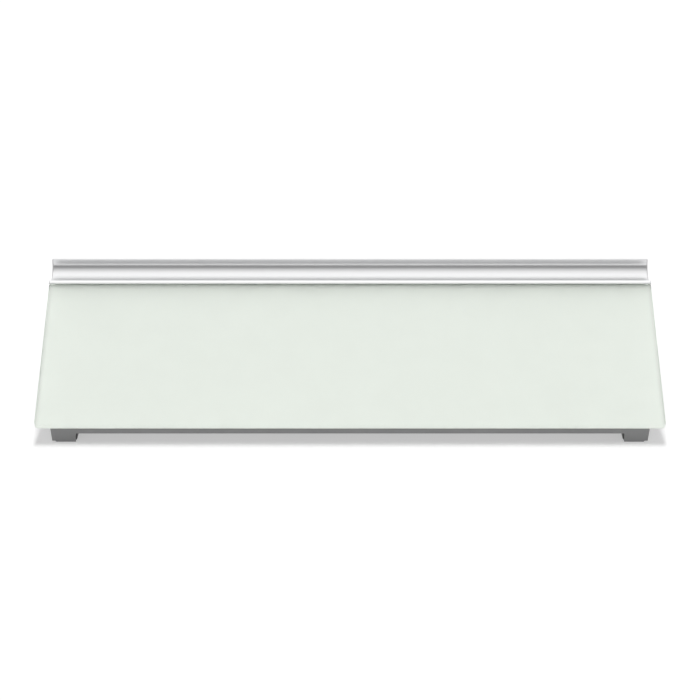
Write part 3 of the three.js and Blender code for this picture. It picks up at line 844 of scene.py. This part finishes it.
coat_white = start_finish("white coat", (0.93, 0.93, 0.93), roughness=0.5)
cover = grain(coat_white, scale=60.0, detail=3.0)
tone(coat_white, cover, dark=(0.925, 0.925, 0.925), light=(0.935, 0.935, 0.935))
polish(coat_white, grain(coat_white, scale=250.0, detail=2.0), smooth=0.45, rough=0.55)
relief(coat_white, grain(coat_white, scale=900.0, detail=2.0), depth=0.00001)
nodes = coat_white.node_tree.nodes
links = coat_white.node_tree.links
# Painted shade: the coat's colour falls to a darker level within a few millimetres of each end.
place = nodes.new("ShaderNodeTexCoord")
spot = nodes.new("ShaderNodeSeparateXYZ")
from_middle = math_node(nodes, "ABSOLUTE")
painted_end_shade = nodes.new("ShaderNodeMapRange")
painted_end_shade.interpolation_type = "SMOOTHSTEP"
painted_end_shade.inputs["From Min"].default_value = glass_width / 2
painted_end_shade.inputs["From Max"].default_value = glass_width / 2 - painted_shade_width
painted_end_shade.inputs["To Min"].default_value = painted_shade_level
painted_shade_mix = nodes.new("ShaderNodeMix")
painted_shade_mix.data_type = "RGBA"
painted_shade_mix.blend_type = "MULTIPLY"
painted_shade_mix.inputs["Factor"].default_value = 1.0
coat_colour = nodes["Principled BSDF"].inputs["Base Color"]
links.new(place.outputs["Object"], spot.inputs["Vector"])
links.new(spot.outputs["X"], from_middle.inputs[0])
links.new(from_middle.outputs[0], painted_end_shade.inputs["Value"])
links.new(coat_colour.links[0].from_socket, painted_shade_mix.inputs[6])
links.new(painted_end_shade.outputs["Result"], painted_shade_mix.inputs[7])
links.new(painted_shade_mix.outputs[2], coat_colour)

coat_thickness = -glass_thickness + coat_contact - coat_bottom_rise
coat_mesh = sheet_mesh(
    "coat",
    glass_width - 2 * coat_inset,
    glass_run - 2 * coat_inset,
    coat_thickness,
    coat_corner,
    coat_edge,
)
coat_depth, coat_height = on_slope(glass_run / 2, coat_bottom_rise)
coat_mesh.transform(
    Matrix.Translation((0.0, coat_depth, coat_height)) @ Matrix.Rotation(slope, 4, "X")
)
place_piece("white_backing", coat_mesh, coat_white, "white_film", "white_coat")

# Glass panel
# A sheet of tempered glass with a pale green tint, polished edges and small round corners. The furnace
# rollers leave its face very slightly wavy.
glass_corner = 0.003
glass_arris = 0.00053
glass_tint = (0.929, 0.99, 0.912)

glass = start_finish("clear green-tinted glass", glass_tint, roughness=0.03)
glass_shader = glass.node_tree.nodes["Principled BSDF"]
glass_shader.inputs["Transmission Weight"].default_value = 1.0
glass_shader.inputs["IOR"].default_value = 1.52
polish(glass, grain(glass, scale=300.0, detail=2.0), smooth=0.02, rough=0.05)
relief(glass, grain(glass, scale=14.0, detail=1.0), depth=0.00001)

glass_mesh = sheet_mesh(
    "glass",
    glass_width,
    glass_run,
    glass_thickness,
    glass_corner,
    glass_arris,
)
sheet_depth, sheet_height = on_slope(glass_run / 2, -glass_thickness)
glass_mesh.transform(
    Matrix.Translation((0.0, sheet_depth, sheet_height)) @ Matrix.Rotation(slope, 4, "X")
)
place_piece("glass_sheet", glass_mesh, glass, "glass", "glass_panel")

# Camera
# A camera with a long lens stands in front of the board's middle and looks down on it. The focal length
# is given in pixels of a picture 700 pixels wide.
view_elevation = math.radians(21.5)
view_distance = 1.825
view_target = Vector((0.0, -0.0064, 0.04544))
focal_length_px = 2450.7
picture_width_px = 700
sensor_width_mm = 36.0
camera_data = bpy.data.cameras.new("camera")
camera_data.sensor_width = sensor_width_mm
camera_data.lens = focal_length_px * sensor_width_mm / picture_width_px
camera = bpy.data.objects.new("camera", camera_data)
bpy.context.scene.collection.objects.link(camera)
view_direction = Vector((0.0, math.cos(view_elevation), -math.sin(view_elevation)))
camera.location = view_target - view_distance * view_direction
camera.rotation_euler = (math.pi / 2 - view_elevation, 0.0, 0.0)
bpy.context.scene.camera = camera
bpy.context.scene.view_settings.view_transform = "Standard"

# Light
# A soft lamp stands over the board and a little behind it. Metal and glass mirror a sky that is bright
# overhead, and the rest sees a dim room with a bright low strip in front. A level of its own makes up for
# light that is followed only a few turns in the glass.
lamp_distance = 9.0
lamp_power = 600.0
lamp_half_width = math.radians(6)
lamp_half_length = math.radians(18.5)
lamp_tilt = math.radians(15)
side_start = 0.2
side_gloss = 0.5
level_through_glass = 1.62
lamp_data = bpy.data.lights.new("overhead panel", "AREA")
lamp_data.shape = "RECTANGLE"
lamp_data.size = 2 * lamp_distance * math.tan(lamp_half_width)
lamp_data.size_y = 2 * lamp_distance * math.tan(lamp_half_length)
lamp_data.energy = lamp_power
lamp = bpy.data.objects.new("overhead panel", lamp_data)
lamp.location = (0.0, lamp_distance * math.sin(lamp_tilt), lamp_distance * math.cos(lamp_tilt))
lamp.rotation_euler = (-lamp_tilt, 0.0, 0.0)
lamp.visible_camera = False
lamp.visible_glossy = False
lamp.visible_transmission = False
bpy.context.scene.collection.objects.link(lamp)

studio = bpy.data.worlds.new("studio")
bpy.context.scene.world = studio
studio.use_nodes = True
nodes = studio.node_tree.nodes
links = studio.node_tree.links
direction = nodes.new("ShaderNodeTexCoord")
parts = nodes.new("ShaderNodeSeparateXYZ")
front = math_node(nodes, "MULTIPLY", -1.0)
arc = math_node(nodes, "ARCTAN2")
share_of_turn = nodes.new("ShaderNodeMapRange")
share_of_turn.inputs["From Max"].default_value = math.pi
sky_levels = [(0, 0.38), (20, 0.26), (40, 0.26), (60, 0.44), (80, 1.0)]
sky_levels += [(100, 1.24), (130, 1.18), (145, 1.1), (160, 0.72), (180, 0.48)]
room_levels = [(0, 1.4), (12, 1.4), (22, 0.2), (60, 0.2), (90, 0.36), (180, 0.36)]


def arc_of_light(levels):
    """Brightness by angle from the horizon in front, over the top, to the horizon behind."""
    arc_light = nodes.new("ShaderNodeValToRGB")
    stops = arc_light.color_ramp.elements
    while len(stops) < len(levels):
        stops.new(1.0)
    for stop, (degrees, brightness) in zip(stops, levels):
        stop.position = degrees / 180
        stop.color = (brightness, brightness, brightness, 1.0)
    links.new(share_of_turn.outputs["Result"], arc_light.inputs["Fac"])
    return arc_light


sky = arc_of_light(sky_levels)
room = arc_of_light(room_levels)
links.new(direction.outputs["Generated"], parts.inputs[0])
links.new(parts.outputs["Y"], front.inputs[0])
links.new(parts.outputs["Z"], arc.inputs[0])
links.new(front.outputs[0], arc.inputs[1])
links.new(arc.outputs[0], share_of_turn.inputs["Value"])
to_side = math_node(nodes, "ABSOLUTE")
side_level = nodes.new("ShaderNodeMapRange")
side_level.interpolation_type = "SMOOTHSTEP"
side_level.inputs["From Min"].default_value = side_start
side_level.inputs["To Min"].default_value = 1.0
ray = nodes.new("ShaderNodeLightPath")
side_in_gloss = math_node(nodes, "MULTIPLY", side_gloss)
links.new(ray.outputs["Is Glossy Ray"], side_in_gloss.inputs[0])
links.new(side_in_gloss.outputs[0], side_level.inputs["To Max"])
links.new(parts.outputs["X"], to_side.inputs[0])
links.new(to_side.outputs[0], side_level.inputs["Value"])
room_or_sky = nodes.new("ShaderNodeMix")
links.new(ray.outputs["Is Glossy Ray"], room_or_sky.inputs["Factor"])
links.new(room.outputs["Color"], room_or_sky.inputs["A"])
links.new(sky.outputs["Color"], room_or_sky.inputs["B"])
level = math_node(nodes, "MULTIPLY")
links.new(room_or_sky.outputs["Result"], level.inputs[0])
links.new(side_level.outputs["Result"], level.inputs[1])
glass_level = nodes.new("ShaderNodeMix")
glass_level.inputs["B"].default_value = level_through_glass
links.new(ray.outputs["Is Transmission Ray"], glass_level.inputs["Factor"])
links.new(level.outputs[0], glass_level.inputs["A"])
seen_level = nodes.new("ShaderNodeMix")
seen_level.inputs["B"].default_value = 1.0
links.new(ray.outputs["Is Camera Ray"], seen_level.inputs["Factor"])
links.new(glass_level.outputs["Result"], seen_level.inputs["A"])
links.new(seen_level.outputs["Result"], nodes["Background"].inputs["Strength"])
nodes["Background"].inputs["Color"].default_value = (1.0, 1.0, 1.0, 1.0)

# Floor
# A plain white desk top. The camera, metal and glass see it as white, it keeps the board's soft shadow,
# and its glow on the matte pieces is weaker.
floor_reach = 6.0
floor_white = 0.68
glow_level = 0.445
glow_on_board = 0.3
floor_mesh = bpy.data.meshes.new("floor")
floor_mesh.from_pydata(
    [
        (-floor_reach, -floor_reach, 0.0),
        (floor_reach, -floor_reach, 0.0),
        (floor_reach, floor_reach, 0.0),
        (-floor_reach, floor_reach, 0.0),
    ],
    [],
    [(0, 1, 2, 3)],
)
floor = bpy.data.objects.new("floor", floor_mesh)
bpy.context.scene.collection.objects.link(floor)
floor_paint = bpy.data.materials.new("floor")
floor_paint.use_nodes = True
floor_mesh.materials.append(floor_paint)
nodes = floor_paint.node_tree.nodes
links = floor_paint.node_tree.links
nodes.remove(nodes["Principled BSDF"])
lit = nodes.new("ShaderNodeBsdfDiffuse")
lit.inputs["Color"].default_value = (floor_white, floor_white, floor_white, 1.0)
glow = nodes.new("ShaderNodeEmission")
whole = nodes.new("ShaderNodeAddShader")
links.new(lit.outputs["BSDF"], whole.inputs[0])
links.new(glow.outputs["Emission"], whole.inputs[1])
links.new(whole.outputs["Shader"], nodes["Material Output"].inputs["Surface"])
ray = nodes.new("ShaderNodeLightPath")
gloss_or_glass = math_node(nodes, "MAXIMUM")
links.new(ray.outputs["Is Glossy Ray"], gloss_or_glass.inputs[0])
links.new(ray.outputs["Is Transmission Ray"], gloss_or_glass.inputs[1])
any_sight = math_node(nodes, "MAXIMUM")
links.new(ray.outputs["Is Camera Ray"], any_sight.inputs[0])
links.new(gloss_or_glass.outputs[0], any_sight.inputs[1])
glow_strength = nodes.new("ShaderNodeMapRange")
glow_strength.inputs["To Min"].default_value = glow_on_board
glow_strength.inputs["To Max"].default_value = glow_level
links.new(any_sight.outputs[0], glow_strength.inputs["Value"])
links.new(glow_strength.outputs["Result"], glow.inputs["Strength"])
